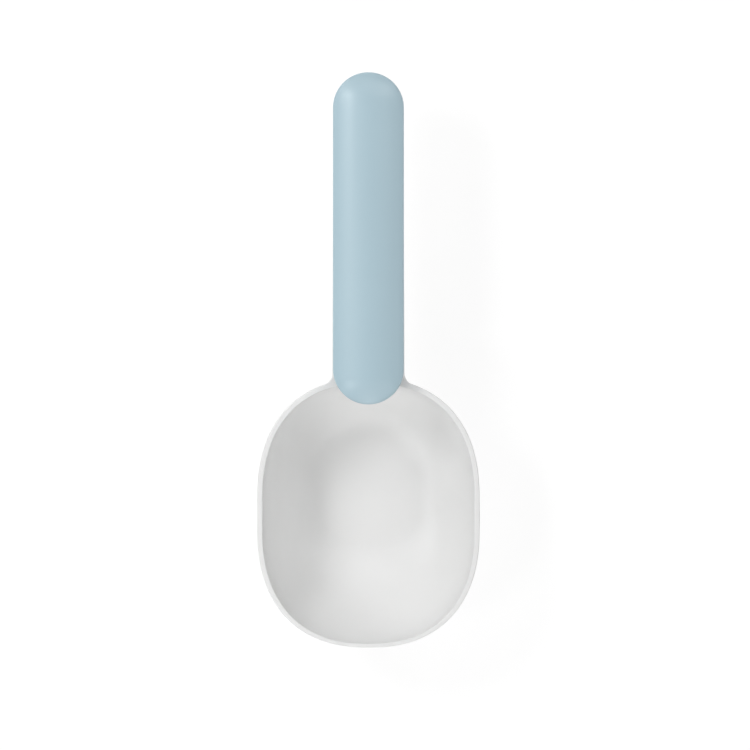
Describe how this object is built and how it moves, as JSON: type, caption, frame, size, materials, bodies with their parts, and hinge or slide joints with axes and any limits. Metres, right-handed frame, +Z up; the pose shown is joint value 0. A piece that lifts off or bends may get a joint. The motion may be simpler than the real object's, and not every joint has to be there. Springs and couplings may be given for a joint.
{
  "type": "feed scoop",
  "caption": "Oval plastic feed scoop whose long round-ended handle is a sprung bag clip, hinged on a steel pin above a trough-shaped lower handle.",
  "frame": {"origin": "centre of the bowl's flat foot, on the surface that the foot rests on", "axes": "+Z up out of the bowl, +Y from the bowl along the handle to its end, +X across"},
  "size_m": [0.085, 0.2192, 0.053],
  "materials": {
    "white_plastic": "white moulded polypropylene, satin",
    "blue_plastic": "pale blue moulded plastic, fine matte texture",
    "steel": "drawn steel wire and rod"
  },
  "bodies": {
    "scoop": {"scoop_body": "white_plastic", "pivot_pin": "steel", "torsion_spring": "steel"},
    "lever": {"clip_lever": "blue_plastic"}
  },
  "joints": [
    {"name": "clip_hinge", "type": "hinge", "parent": "scoop", "child": "lever", "pos_m": [0, 0.062, 0.0405], "axis": [1, 0, 0], "range_deg": [0, 11], "stiffness_Nm_per_rad": 0.43, "springref_deg": -40.11, "deforming": ["torsion_spring"]}
  ]
}
